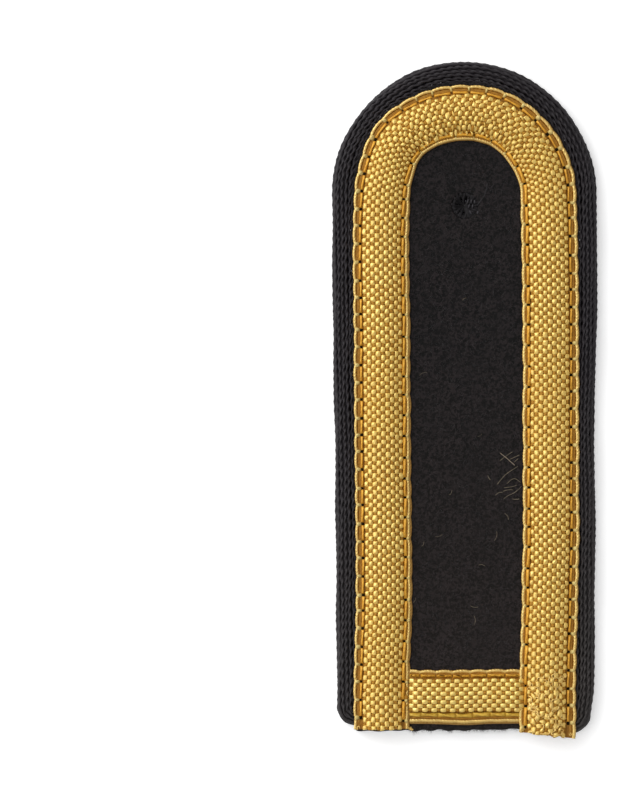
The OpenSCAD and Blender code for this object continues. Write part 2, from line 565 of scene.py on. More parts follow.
laceTape = weaveTape("laceTape", laceLong, 0, lace["edge"])
layOnArch(laceTape)
laceWarp = weaveWarp("laceWarp", lace["rows"] // 2 + 1, -2 * lace["cell"], lace["columns"])
layOnArch(laceWarp, woven=True)
laceWeft = weaveWeft("laceWeft", lace["rows"] + 1, -2 * lace["cell"], lace["columns"])
layOnArch(laceWeft, woven=True)
print("wove the arch", len(laceWarp.data.polygons), len(laceWeft.data.polygons))

holes = {side: walk(lace["spare"] + rng.uniform(1.2, 2.2) * mm, laceLong - lace["spare"] - 1 * mm,
                    pitchAt(side), 0.09) for side in (1, -1)}


def scallop(x, places):
    # how far the edge swells between two needle holes, from 0 to 1
    ends = np.r_[-10 * mm, places, places[-1] + 3 * mm, places[-1] + 40 * mm]
    at = np.clip(np.searchsorted(ends, x) - 1, 0, len(ends) - 2)
    part = (x - ends[at]) / (ends[at + 1] - ends[at])
    return np.sin(np.pi * np.clip(part, 0, 1)) ** 0.7


def layThread(base, places, y, name, stout=1.0, reach=1.0):
    # one thread for each pair of neighbouring holes, from a thread that is 1 mm long
    count = len(places) - 1
    piece = copyOf(base, name)
    gaps = np.diff(places)
    side = rng.uniform(-0.04, 0.04, count) * mm
    fat = stout * rng.uniform(1.04, 1.22, count)

    def place(points):
        points[:, :, 0] = places[:-1, None] + gaps[:, None] * (0.5 + reach * (points[:, :, 0] / mm - 0.5))
        points[:, :, 1:] *= fat[:, None, None]
        points[:, :, 1] += y + side[:, None]
        return points
    scatter(piece, count, place)
    return piece


threadRings = [(0.06 * mm, 0, -0.16 * mm, 0.17 * mm, 0.1 * mm, 0), (0.09 * mm, 0, 0.08 * mm, 0.215 * mm, 0.12 * mm, -15),
               (0.2 * mm, 0, 0.14 * mm, 0.23 * mm, 0.17 * mm, -40), (0.35 * mm, 0, 0.15 * mm, 0.235 * mm, 0.18 * mm, -60),
               (0.5 * mm, 0, 0.155 * mm, 0.235 * mm, 0.18 * mm, -80), (0.65 * mm, 0, 0.15 * mm, 0.235 * mm, 0.18 * mm, -100),
               (0.8 * mm, 0, 0.14 * mm, 0.23 * mm, 0.17 * mm, -120), (0.91 * mm, 0, 0.08 * mm, 0.215 * mm, 0.12 * mm, -145),
               (0.94 * mm, 0, -0.16 * mm, 0.17 * mm, 0.1 * mm, -160)]
threadBase = extrudeRings("threadBase", 8, threadRings, lobes=2, depth=0.06)
pullRings = [(0.14 * mm, 0, -0.08 * mm, 0.12 * mm, 0.05 * mm, 0), (0.26 * mm, 0, 0.04 * mm, 0.22 * mm, 0.07 * mm, 0),
             (0.42 * mm, 0, 0.11 * mm, 0.26 * mm, 0.08 * mm, 0), (0.62 * mm, 0, 0.21 * mm, 0.27 * mm, 0.08 * mm, 0),
             (0.84 * mm, 0, 0.26 * mm, 0.26 * mm, 0.08 * mm, 0), (1.04 * mm, 0, 0.2 * mm, 0.22 * mm, 0.07 * mm, 0),
             (1.18 * mm, 0, 0.0 * mm, 0.14 * mm, 0.05 * mm, 0)]
pullBase = extrudeRings("pullBase", 6, pullRings)
deselectAll()
bpy.ops.mesh.primitive_uv_sphere_add(segments=8, ring_count=5, radius=1)
holeShadeBase = bpy.context.active_object
holeShadeBase.scale = (0.31 * mm, 0.25 * mm, 0.26 * mm)
settle(holeShadeBase)


def inArch(x):
    return easeStep(x, archFrom - 3 * mm, archFrom + 3 * mm) * (1 - easeStep(x, archTo - 3 * mm, archTo + 3 * mm))


selvedgeAt = {1: lace["outerAt"], -1: lace["innerAt"]}
# the light comes from the upper left: past this place the outer edge lies in shade, before it the inner one
shadeFrom = archFrom + 0.7 * archLong
threads, pulls, holeShades, cords, margins, shadeWalls = [], [], [], [], [], []
for side in (1, -1):
    places = holes[side]
    threads.append(layThread(threadBase, places, side * holeAt[side], "laceThread",
                             *((1.02, 1.0) if side > 0 else (1.32, 1.06))))

    # a near-black blob sunk in each needle hole: painted shade of the hole
    holeShade = copyOf(holeShadeBase, "laceHoleShade")
    closed = easeStep(places, archFrom + 0.15 * archLong, archFrom + 0.3 * archLong)
    closed *= 1 - easeStep(places, archFrom + 0.6 * archLong, archFrom + 0.75 * archLong)
    grow = rng.uniform(0.75, 1.15, len(places)) * (1 - 0.6 * closed)

    def placeHoleShade(points):
        points *= grow[:, None, None]
        points[:, :, 0] += places[:, None]
        points[:, :, 1] += side * holeAt[side]
        return points
    scatter(holeShade, len(places), placeHoleShade)
    holeShades.append(holeShade)

    pull = copyOf(pullBase, "lacePull")
    lean = rng.uniform(-0.12, 0.12, len(places))
    wide = rng.uniform(1.0, 1.5, len(places)) * (1 - 0.5 * closed)

    def placePull(points):
        along, across = points[:, :, 1] * wide[:, None], points[:, :, 0].copy()
        points[:, :, 0] = places[:, None] + along * side + across * lean[:, None]
        points[:, :, 1] = side * (holeAt[side] + 0.02 * mm + across * (selvedgeAt[side] - holeAt[side]) / mm)
        return points
    scatter(pull, len(places), placePull)
    pulls.append(pull)

    cord = makeTwist("laceCord", 3, 0.14, lace["selvedgeR"], 0.5 * mm, 3, laceLong, 9)
    points = getPoints(cord)
    # on the left leg the inner selvedge is drawn in, and the dark strand of painted shade shows beside it
    drawnIn = (side < 0) * (1 - easeStep(points[:, 0], archFrom - 10 * mm, archFrom + 2 * mm))
    swell = scallop(points[:, 0], places) * (1 - 0.8 * inArch(points[:, 0]) * (side < 0)) * (1 - 0.6 * drawnIn)
    # and both selvedges of that leg look slimmer
    points[:, 1:] *= 1 - 0.16 * (1 - easeStep(points[:, 0], archFrom, archTo))[:, None]
    points[:, 1] += side * (selvedgeAt[side] + lace["scallop"] * swell - (0.05 + 0.06 * drawnIn) * mm)
    points[:, 2] = 0.8 * points[:, 2] + (0.02 + 0.1 * swell) * mm
    setPoints(cord, points)
    cords.append(cord)

    for place in strandsAt[side]:
        strand = makeTwist("laceStrand", 2, 0.06, 0.155 * mm, 1.9 * mm, 3, laceLong, 6)
        points = getPoints(strand)
        points[:, 1] += side * place
        points[:, 2] *= 0.7
        points[:, 2] += 0.02 * mm - 0.05 * mm * (1 - scallop(points[:, 0], places))
        setPoints(strand, points)
        margins.append(strand)
    # a dark brown strand beside the selvedge, shown only on the side that the light doesn't reach and tucked under it
    # elsewhere: painted shade
    wall = makeTwist("laceWall", 3, 0.1, 0.22 * mm, 0.6 * mm, 3, laceLong, 6)
    points = getPoints(wall)
    swell = scallop(points[:, 0], places) * (1 - 0.8 * inArch(points[:, 0]) * (side < 0))
    inShade = easeStep(side * (points[:, 0] - shadeFrom), -5 * mm, 5 * mm)
    points[:, 1] += side * (selvedgeAt[side] + lace["scallop"] * swell + (0.3 * inShade - 0.16) * mm)
    points[:, 2] -= 0.1 * mm
    setPoints(wall, points)
    shadeWalls.append(wall)

laceThreads = join(threads, "laceThreads")
lacePulls = join(pulls, "lacePulls")
laceHoleShades = join(holeShades, "laceHoleShades")
laceSelvedge = join(cords, "laceSelvedge")
laceMargin = join(margins, "laceMargin")
laceWall = join(shadeWalls, "laceWall")
for piece in (laceThreads, lacePulls, laceHoleShades, laceSelvedge, laceMargin, laceWall):
    layOnArch(piece)
print("sewed the arch")

# towards the right foot, fine strands of the weave have worked loose and lie over it
squiggle = ((-0.75, 0, 0), (-0.45, 0.32, 0.06), (-0.1, 0.16, 0.1), (0.12, -0.24, 0.07), (0.45, -0.2, 0.1),
            (0.66, 0.14, 0.04))
laceTangle = makeStrand("laceTangle", np.array(squiggle) * mm, 0.11 * mm, 1)
count = 70
tangleAt = laceLong - lace["spare"] - 0.6 * mm - 11 * mm * rng.uniform(0, 1, count) ** 1.4
tangleAcross = rng.uniform(-2.9, 2.9, count) * mm
tangleTurn = math.pi / 4 + math.pi / 2 * rng.integers(0, 4, count) + rng.normal(0, 0.35, count)
tangleSize = rng.uniform(0.6, 1.05, count)
tangleLift = rng.uniform(0.26, 0.38, count) * mm
tangleLift += 0.06 * mm * easeStep(tangleAt, laceLong - 9 * mm, laceLong - 4 * mm)


def placeTangle(points):
    x, y = points[:, :, 0] * tangleSize[:, None], points[:, :, 1] * tangleSize[:, None]
    turn = tangleTurn[:, None]
    points[:, :, 0] = tangleAt[:, None] + x * np.cos(turn) - y * np.sin(turn)
    points[:, :, 1] = tangleAcross[:, None] + x * np.sin(turn) + y * np.cos(turn)
    points[:, :, 2] += tangleLift[:, None]
    return points


scatter(laceTangle, count, placeTangle)
layOnArch(laceTangle)

# the cross bar
barTape = weaveTape("barTape", 2 * bar["half"], -bar["half"], bar["tapeEdge"])
trim(barTape, (0, bar["upperSelvedge"] + 0.28 * mm, 0), (0, 1, 0))
layOnBar(barTape)
barWarp = weaveWarp("barWarp", 15, -15 * lace["cell"], bar["columns"])
setPoints(barWarp, getPoints(barWarp) * bar["stretch"])
trim(barWarp, (bar["half"], 0, 0), (1, 0, 0))
trim(barWarp, (-bar["half"], 0, 0), (-1, 0, 0))
layOnBar(barWarp)
barWeft = weaveWeft("barWeft", 26, -13 * lace["cell"], bar["columns"])
setPoints(barWeft, getPoints(barWeft) * bar["stretch"])
layOnBar(barWeft)

threads, cords, margins = [], [], []
for side in (1, -1):
    places = walk(-bar["half"] - 0.9 * mm, bar["half"] + 2.4 * mm, lambda s: bar["pitch"], 0.08)
    if side > 0:
        at, selvedge, swellBy, stout, reach = bar["upperThread"], bar["upperSelvedge"], 1.1, 1.45, 1.1
    else:
        at, selvedge, swellBy, stout, reach = bar["lowerThread"], bar["lowerSelvedge"], 0.3, 1.95, 1.2
    stitch = layThread(threadBase, places, side * at, "barThread", stout, reach)
    if side < 0:
        points = getPoints(stitch)
        points[:, 2] *= 0.7
        setPoints(stitch, points)
    threads.append(stitch)
    cord = makeTwist("barCord", 3, 0.14, lace["selvedgeR"], 0.5 * mm, 3, 2 * bar["half"], 9)
    points = getPoints(cord)
    points[:, 0] -= bar["half"]
    swell = scallop(points[:, 0], places)
    points[:, 1] += side * (selvedge + swellBy * lace["scallop"] * swell - 0.08 * mm)
    points[:, 2] = 0.75 * points[:, 2] + 0.06 * mm * swell
    setPoints(cord, points)
    cords.append(cord)
    for place in bar["strands"]:
        strand = makeTwist("barStrand", 2, 0.06, 0.155 * mm, 1.9 * mm, 3, 2 * bar["half"], 6)
        points = getPoints(strand)
        points[:, 0] -= bar["half"]
        points[:, 1] += side * place
        points[:, 2] = points[:, 2] * 0.7 + 0.02 * mm
        setPoints(strand, points)
        margins.append(strand)
# the bar's lower, shaded selvedge gets the same dark strand of painted shade
wall = makeTwist("barShadeWall", 3, 0.1, 0.22 * mm, 0.6 * mm, 3, 2 * bar["half"], 6)
points = getPoints(wall) - (bar["half"], bar["lowerSelvedge"] + 0.36 * mm, 0.1 * mm)
setPoints(wall, points)
barThreads, barFlatThreads = join(threads[:1], "barThreads"), join(threads[1:], "barFlatThreads")
barSelvedge = join(cords, "barSelvedge")
barMargin = join(margins, "barMargin")
barShadeWall = join([wall], "barShadeWall")
for piece in (barThreads, barFlatThreads, barSelvedge, barMargin, barShadeWall):
    trim(piece, (bar["half"], 0, 0), (1, 0, 0))
    trim(piece, (-bar["half"], 0, 0), (-1, 0, 0))
    layOnBar(piece)
for piece in (threadBase, pullBase, holeShadeBase):
    bpy.data.objects.remove(piece)
print("made the bar")

# the edging, a bundle of two-ply yarns that is wound round the side of the pad
edging = {
    "wide": 3.25 * mm,
    "round": 1.425 * mm,
    "yarn": 0.37 * mm,
    "pitch": 1.5 * mm,
    "short": 0.6 * mm,
    "sink": 0.31 * mm,
}
edging["midR"] = plan["edgeR"] - edging["wide"] / 2
runSide = {side: (plan["archY"] - plan["endY"] - edging["short"] - edging["wide"]
                  + side * (plan["edgeR"] - edging["wide"]) * math.sin(plan["endSlant"]))
           / math.cos(plan["sideLean"]) for side in (1, -1)}
edgeLine, edgeLong = archLine(edging["midR"], plan["sideLean"], runSide[-1], runSide[1], 0.2 * mm,
                              turnR=edging["wide"] / 2, turnAngle=math.pi / 2)
fromArch = edgeLine - (0, plan["archY"])
bearing = np.degrees(np.arctan2(fromArch[:, 1], fromArch[:, 0]))
onRight = edgeLine[:, 0] > 0
tight = -0.26 * (1 - easeStep(bearing, 50, 85)) * easeStep(fromArch[:, 1], -9 * mm, 0) * onRight
edgeLine += tight[:, None] * mm * fromArch / np.hypot(*fromArch.T)[:, None]
edgeLine[:, 0] -= 0.36 * mm * onRight * np.exp(-((edgeLine[:, 1] + 4 * mm) / (9 * mm)) ** 2)
edgeLine[:, 0] += 0.22 * mm * ~onRight * easeStep(-edgeLine[:, 1], -12 * mm, 12 * mm)
edgeLine[:, 0] -= 0.5 * mm * onRight * easeStep(-edgeLine[:, 1], 49 * mm, 54 * mm)
edgePath = makePath("edgePath", edgeLine)
outward = edging["wide"] - edging["round"]
reach = edging["round"] - edging["sink"]
topZ, lowZ = plan["edgeHeight"] - edging["sink"], edging["sink"]
yarnPlaces = [(0.33 * mm, topZ - 0.14 * mm), (0.95 * mm, topZ), (1.57 * mm, topZ + 0.02 * mm)]
for k in range(6):
    turn = math.radians(70 - 31.9 * k)
    yarnPlaces.append((outward + reach * math.cos(turn), plan["edgeHeight"] / 2 + reach * math.sin(turn)))
yarnPlaces += [(1.2 * mm, lowZ), (0.6 * mm, lowZ), (-0.1 * mm, plan["laceFoot"] - 0.37 * mm)]

yarns = [makeTwist("edgeYarn", 2, depth, edging["yarn"], edging["pitch"], 5, 1.16 * edgeLong, 8)
         for depth in (0.32, 0.14)]
groups = {"edgingTop": [], "edgingSide": []}
for number, (u, z) in enumerate(yarnPlaces):
    strand = copyOf(yarns[u > edging["wide"] - edging["yarn"] - 0.3 * mm], "edgeYarn")
    points = getPoints(strand)
    x = points[:, 0] * rng.uniform(0.9, 1.12) + rng.uniform(-1, 0) * edging["pitch"]
    x += 0.55 * mm * np.sin(x / (2.9 * mm) + number) * np.sin(x / (7.1 * mm) + 2 * number)
    breathe = 1 + 0.1 * np.sin(x / (1.9 * mm) + number) * np.sin(x / (5.1 * mm) + 2 * number)
    points[:, 0] = np.clip(x, 0, edgeLong)
    points[:, 1] = points[:, 1] * breathe + u - edging["wide"] / 2
    points[:, 2] = points[:, 2] * breathe + z
    points[:, 1] += 0.07 * mm * np.sin(x / (3.1 * mm) + 1.7 * number)
    setPoints(strand, points)
    groups["edgingTop" if number < 5 else "edgingSide"].append(strand)
for yarn in yarns:
    bpy.data.objects.remove(yarn)
edgingPieces = []
for name, strands in groups.items():
    piece = join(strands, name)
    markFlat(piece)
    bendAlong(piece, edgePath)
    smooth(piece)
    edgingPieces.append(piece)
edgingTop, edgingSide = edgingPieces

coreRings = [(0, 0, 0, 1, 1, 0), (1.0 * mm, 0, 0, 1, 1, 0)]
edgingCore = extrudeRings("edgingCore", 12, coreRings)
repeat(edgingCore, int(edgeLong / mm), (1.0 * mm, 0, 0), merge=True)
points = getPoints(edgingCore)
points[:, 1] = points[:, 1] * 1.2 * mm
points[:, 2] = points[:, 2] * 1.05 * mm + plan["edgeHeight"] / 2
setPoints(edgingCore, points)
bendAlong(edgingCore, edgePath)
smooth(edgingCore)
print("wound the edging")

# the cloth-covered pad, with its raw end
clothPad = bpy.data.objects["board"].copy()
clothPad.data = clothPad.data.copy()
clothPad.data.materials.clear()
clothPad.name = "clothPad"
bpy.context.collection.objects.link(clothPad)
pick(clothPad)
bpy.ops.object.mode_set(mode="EDIT")
bpy.ops.mesh.select_all(action="SELECT")
bpy.ops.mesh.remove_doubles(threshold=0.001 * mm)
bpy.ops.object.mode_set(mode="OBJECT")
applyModifier(clothPad, "REMESH", mode="VOXEL", voxel_size=0.42 * mm)
applyModifier(clothPad, "SMOOTH", factor=0.5, iterations=2)
rawEnd = waves(31, 9, 2 * mm, 9 * mm)
clothLump = waves(32, 14, 1.2 * mm, 7 * mm)


def clothEndY(x):
    return -56.05 * mm + 0.016 * x + 0.13 * mm * rawEnd(x, 0 * x)


points = getPoints(clothPad)
x, y, z = points.T.copy()
cadEnd = plan["endY"] - x * math.tan(plan["endSlant"])
bound = -53 * mm
near = y < bound
points[near, 1] = (bound + (y - bound) / (cadEnd - bound) * (clothEndY(x) - bound))[near]
points[:, 2] += 0.02 * mm * clothLump(x, y) * (z > 1 * mm)
setPoints(clothPad, points)
smooth(clothPad)
print("covered the pad", len(clothPad.data.polygons))


# the selvedges end in small frayed loops: (x, y) of each, in millimetres
frays = ((-18.1, -55.75), (-9.15, -55.8), (9.8, -55.85), (17.9, -56.7))
loops = []
for x, y in frays:
    for turn in range(3):
        cx, cy = x + rng.uniform(-0.25, 0.25), y + rng.uniform(-0.1, 0.25)
        rx, ry, start = rng.uniform(0.16, 0.3), rng.uniform(0.14, 0.26), rng.uniform(0, 6.3)
        line = [(cx + rx * math.cos(start + k), cy + ry * math.sin(start + k), rng.uniform(0.1, 0.4)) for k in range(6)]
        loops.append(makeStrand("laceFray", np.array(line) * mm + (0, 0, plan["laceFoot"]), 0.1 * mm, 1))
laceFray = join(loops, "laceFray")
markFlat(laceFray)
smooth(laceFray)

# the worked button hole
holeCentre = Vector(((eyeLow.x + eyeHigh.x) / 2, (eyeLow.y + eyeHigh.y) / 2, 0))
padTop = padHigh.z
turns = 27
loop = [(2.3, 0, -0.4), (2.2, 0, -0.16), (2.0, 0.05, -0.1), (1.76, 0.12, -0.3), (1.46, 0.2, -0.66),
        (1.1, 0.22, -1.0), (0.7, 0.2, -1.35), (0.12, 0.05, -1.7)]
eyeletThread = makeStrand("eyeletThread", np.array(loop) * mm + (0, 0, padTop), 0.2 * mm, 1)
loopLine = np.array(loop) * mm
spin = np.arange(turns) * 2 * math.pi / turns + rng.uniform(-0.09, 0.09, turns)
stretch = rng.uniform(0.86, 1.04, turns)
slant = rng.uniform(-1.9, 0.6, turns)
sunk = rng.uniform(-0.24, -0.02, turns) * mm


def placeLoops(points):
    x = points[:, :, 0] * stretch[:, None]
    y = points[:, :, 1] + np.interp(points[:, :, 0], loopLine[::-1, 0], loopLine[::-1, 1]) * slant[:, None]
    points[:, :, 0] = holeCentre.x + x * np.cos(spin)[:, None] - y * np.sin(spin)[:, None]
    points[:, :, 1] = holeCentre.y + x * np.sin(spin)[:, None] + y * np.cos(spin)[:, None]
    depth = padTop - points[:, :, 2]
    points[:, :, 2] = padTop - depth * (0.56 - 0.22 * np.cos(spin))[:, None] + sunk[:, None]
    return points


scatter(eyeletThread, turns, placeLoops)
# short stitches that stand up at the right of the hole: (x, y, half length, lean), in millimetres
stitches = ((0.51, 33.3, 0.3, 0.1), (1.1, 33.3, 0.3, 0.05), (1.69, 33.25, 0.28, -0.05), (0.73, 32.55, 0.3, 0.12),
            (1.35, 32.5, 0.3, 0.05), (1.0, 31.45, 0.26, -0.15), (2.2, 31.45, 0.34, 0.1))
bars = []
for x, y, half, lean in stitches:
    line = [(x + lean * t, y + half * t, z) for t, z in ((-1, -0.9), (-1.1, -0.3), (-0.6, -0.06), (0.6, -0.04), (1.1, -0.3),
                                                         (1, -0.9))]
    bars.append(makeStrand("eyeletBar", np.array(line) * mm + (0, 0, padTop), 0.12 * mm, 1))
eyeletBars = join(bars, "eyeletBars")
eyeletCore = bpy.data.objects["eyelet"].copy()
eyeletCore.data = eyeletCore.data.copy()
eyeletCore.data.materials.clear()
eyeletCore.name = "eyeletCore"
bpy.context.collection.objects.link(eyeletCore)
smooth(eyeletThread)
smooth(eyeletBars)
print("worked the button hole")

# the nap of the cloth, its raw fibres and a little lint
deselectAll()
bpy.ops.mesh.primitive_cylinder_add(vertices=3, radius=1, depth=1, end_fill_type="NOTHING", location=(0, 0, 0.5))
hair = bpy.context.active_object
settle(hair)
bpy.ops.object.mode_set(mode="EDIT")
bpy.ops.mesh.select_all(action="SELECT")
bpy.ops.mesh.subdivide(number_cuts=1)
bpy.ops.object.mode_set(mode="OBJECT")


def growHairs(name, feet, heading, rise, length, thick, curl):
    # fibres that start at feet and lie along heading, with a bow of curl
    piece = copyOf(hair, name)

    def place(points):
        t = points[:, :, 2].copy()
        taper = (1 - 0.6 * t) * thick
        px, py = points[:, :, 0] * taper, points[:, :, 1] * taper
        turn = heading[:, None] + curl[:, None] * t
        along = length[:, None] * t
        points[:, :, 0] = feet[:, 0, None] + along * np.cos(turn) - px * np.sin(turn)
        points[:, :, 1] = feet[:, 1, None] + along * np.sin(turn) + px * np.cos(turn)
        points[:, :, 2] = feet[:, 2, None] + along * np.sin(rise)[:, None] * (1 - 0.4 * t) + py
        return points
    scatter(piece, len(feet), place)
    smooth(piece)
    return piece


count = 3600
feet = np.c_[rng.uniform(-9.6, 9.9, count) * mm, rng.uniform(-46, 45, count) * mm, np.full(count, padTop - 0.01 * mm)]
away = np.hypot(feet[:, 0], feet[:, 1] - holeCentre.y)
round9 = np.hypot(feet[:, 0], np.maximum(feet[:, 1] - plan["archY"], 0))
feet = feet[(away > 2.2 * mm) & (round9 < 9.4 * mm)]
count = len(feet)
clothNap = growHairs("clothNap", feet, rng.uniform(0, 2 * math.pi, count), rng.uniform(0.0, 0.5, count),
                     rng.uniform(0.4, 1.3, count) * mm, 0.014 * mm, rng.uniform(-1.6, 1.6, count))
count = 420
endX = rng.uniform(-9.3, 9.6, count) * mm
feet = np.c_[endX, clothEndY(endX) + 0.1 * mm, rng.uniform(0.2, 2.3, count) * mm]
rawFibres = growHairs("rawFibres", feet, -math.pi / 2 + rng.normal(0, 0.9, count), rng.uniform(-0.3, 0.2, count),
                      rng.uniform(0.3, 0.95, count) * mm, 0.02 * mm, rng.uniform(-1.5, 1.5, count))
bpy.data.objects.remove(hair)

# a swirl of lint by the right-hand lace: the points of each fibre, in millimetres
tanFibre = ((5.97, -9.2), (6.66, -9.7), (7.5, -10.4), (8.43, -11.27))
swirl = (
    ((5.54, -14.46), (6.06, -13.77), (6.75, -12.9), (7.52, -12.39), (8.99, -11.44)),
    ((5.97, -10.49), (6.58, -9.97), (7.52, -9.37), (8.04, -9.02)),
    ((7.6, -10.3), (8.1, -10.05), (8.7, -9.8), (9.25, -9.54)),
    ((8.39, -10.75), (8.6, -10.5), (8.9, -10.3), (9.08, -10.15)),
    ((7.18, -14.37), (7.7, -13.77), (8.3, -13.43), (8.82, -13.6), (9.42, -14.2)),
    ((6.66, -15.06), (7.35, -14.98), (8.3, -14.94), (8.82, -14.6)),
    ((5.19, -16.36), (5.54, -15.93), (6.06, -15.71), (6.4, -15.93)),
    ((6.58, -16.96), (7.09, -16.5), (7.7, -16.23), (8.82, -15.76), (9.6, -14.8)),
    ((8.04, -16.96), (8.3, -17.05), (8.65, -17.09), (9.25, -16.96)),
    ((6.49, -15.67), (7.0, -15.45), (7.6, -15.35), (8.13, -15.45)),
    ((3.9, -12.99), (4.05, -13.4), (4.2, -13.6), (4.33, -13.77)),
)


def layFibre(name, places, radius):
    height = padTop + rng.uniform(0.03, 0.1, len(places)) * mm
    return makeStrand(name, np.c_[np.array(places) * mm, height], radius, 1)


lint = join([layFibre("lint", places, 0.034 * mm) for places in swirl], "lint")
tanLint = layFibre("tanLint", tanFibre, 0.05 * mm)
# single loose fibres on the cloth: (x, y, heading in degrees, length), in millimetres
loose = ((-4.97, -23.3, -35, 1.2), (-7.3, -25.0, 15, 1.0), (3.4, -28.3, 120, 1.1), (5.0, -24.0, 25, 1.6),
         (1.0, -35.0, -60, 1.3), (1.6, -38.2, 40, 1.5), (-8.8, -34.5, 5, 1.0), (7.4, -20.5, 70, 1.3),
         (-2.6, -16.3, 10, 0.9), (2.2, -6.4, -20, 0.8), (-6.4, 4.4, 150, 1.3), (0.3, 17.0, 160, 0.8))
strands = []
for x, y, turn, long in loose:
    turn = math.radians(turn)
    line = [(x + long * t * math.cos(turn + t * 0.9), y + long * t * math.sin(turn + t * 0.9), 0.05) for t in (0, 0.35, 0.7, 1)]
    strands.append(makeStrand("looseFibre", np.array(line) * mm + (0, 0, padTop), 0.021 * mm, 1))
looseFibres = join(strands, "looseFibres")
# a thread end that lies beside the button hole
bow = ((3.85, 36.3), (3.7, 35.2), (3.3, 34.1), (2.6, 33.3), (2.1, 32.6))
threadEnd = makeStrand("threadEnd", np.c_[np.array(bow) * mm, np.full(len(bow), padTop - 0.03 * mm)], 0.09 * mm, 1)
for piece in (lint, tanLint, looseFibres, threadEnd):
    smooth(piece)
print("grew the nap")
for path in (lacePath, edgePath):
    bpy.data.objects.remove(path)


# materials
def addNode(tree, kind, inputs=None, **settings):
    node = tree.nodes.new(kind)
    for name, value in settings.items():
        setattr(node, name, value)
    for name, value in (inputs or {}).items():
        if isinstance(value, bpy.types.NodeSocket):
            tree.links.new(value, node.inputs[name])
        else:
            node.inputs[name].default_value = value
    return node


def newMaterial(name, **settings):
    material = bpy.data.materials.new(name)
    material.use_nodes = True
    tree = material.node_tree
    tree.nodes.clear()
    shader = addNode(tree, "ShaderNodeBsdfPrincipled", settings)
    output = addNode(tree, "ShaderNodeOutputMaterial")
    tree.links.new(shader.outputs["BSDF"], output.inputs["Surface"])
    return material, tree, shader


def ramp(tree, value, low, high, toLow=0.0, toHigh=1.0):
    return addNode(tree, "ShaderNodeMapRange", {"Value": value, "From Min": low, "From Max": high,
                                                "To Min": toLow, "To Max": toHigh}).outputs["Result"]


def blend(tree, share, first, second, mode="MIX"):
    node = addNode(tree, "ShaderNodeMix", data_type="RGBA", blend_type=mode)
    for socket, value in ((node.inputs[0], share), (node.inputs[6], first), (node.inputs[7], second)):
        if isinstance(value, bpy.types.NodeSocket):
            tree.links.new(value, socket)
        else:
            socket.default_value = value
    return node.outputs[2]


# shared: patches, grain and winding lines of a metal-wound thread, from its unrolled place
threadTone = bpy.data.node_groups.new("threadTone", "ShaderNodeTree")
threadTone.interface.new_socket("Place", in_out="INPUT", socket_type="NodeSocketVector")
for name in ("Patch", "Grain", "Winding"):
    threadTone.interface.new_socket(name, in_out="OUTPUT", socket_type="NodeSocketFloat")
inside = addNode(threadTone, "NodeGroupInput")
outside = addNode(threadTone, "NodeGroupOutput")
place = inside.outputs["Place"]
patch = addNode(threadTone, "ShaderNodeTexNoise", {"Vector": place, "Scale": 0.3, "Detail": 2.0})
grain = addNode(threadTone, "ShaderNodeTexNoise", {"Vector": place, "Scale": 1.7, "Detail": 3.0})
winding = addNode(threadTone, "ShaderNodeTexWave", {"Vector": place, "Scale": 0.9, "Distortion": 2.5,
                                                    "Detail": 1.5}, bands_direction="DIAGONAL")
for name, source in (("Patch", patch.outputs[0]), ("Grain", grain.outputs[0]), ("Winding", winding.outputs[1])):
    threadTone.links.new(source, outside.inputs[name])


def goldMaterial(name, hollowShade, middle, crestHighlight, lowZ, highZ, ior, rough, winding=0.5):
    # a yellow-brown thread core under a metal winding: the sheen is pale gold and comes from the high IOR
    material, tree, shader = newMaterial(name, Roughness=rough, IOR=ior)
    shader.inputs["Specular Tint"].default_value = (1.0, 0.84, 0.34, 1)
    flat = addNode(tree, "ShaderNodeAttribute", attribute_name="flat")
    group = tree.nodes.new("ShaderNodeGroup")
    group.node_tree = threadTone
    tree.links.new(flat.outputs["Vector"], group.inputs["Place"])
    split = addNode(tree, "ShaderNodeSeparateXYZ", {"Vector": flat.outputs["Vector"]})
    # the colour runs by height from the hollow colour to the crest colour: the low flanks and hollows get painted
    # shade, the crests a painted highlight
    height = ramp(tree, split.outputs["Z"], lowZ, highZ)
    low = blend(tree, ramp(tree, height, 0.0, 0.55), (*hollowShade, 1), (*middle, 1))
    colour = blend(tree, ramp(tree, height, 0.45, 1.0), low, (*crestHighlight, 1))
    shade = ramp(tree, group.outputs["Grain"], 0.35, 0.65, 0.0, 0.6)
    colour = blend(tree, shade, colour, blend(tree, 1.0, colour, (0.66, 0.56, 0.44, 1), "MULTIPLY"))
    warm = ramp(tree, group.outputs["Patch"], 0.35, 0.65, 0.0, 0.35)
    colour = blend(tree, warm, colour, blend(tree, 1.0, colour, (0.95, 0.8, 0.62, 1), "MULTIPLY"))
    tree.links.new(colour, shader.inputs["Base Color"])
    relief = addNode(tree, "ShaderNodeMath", {0: group.outputs["Winding"], 1: group.outputs["Grain"]}, operation="ADD")
    bump = addNode(tree, "ShaderNodeBump", {"Strength": winding, "Distance": 0.05 * mm, "Height": relief.outputs[0]})
    tree.links.new(bump.outputs["Normal"], shader.inputs["Normal"])
    return material
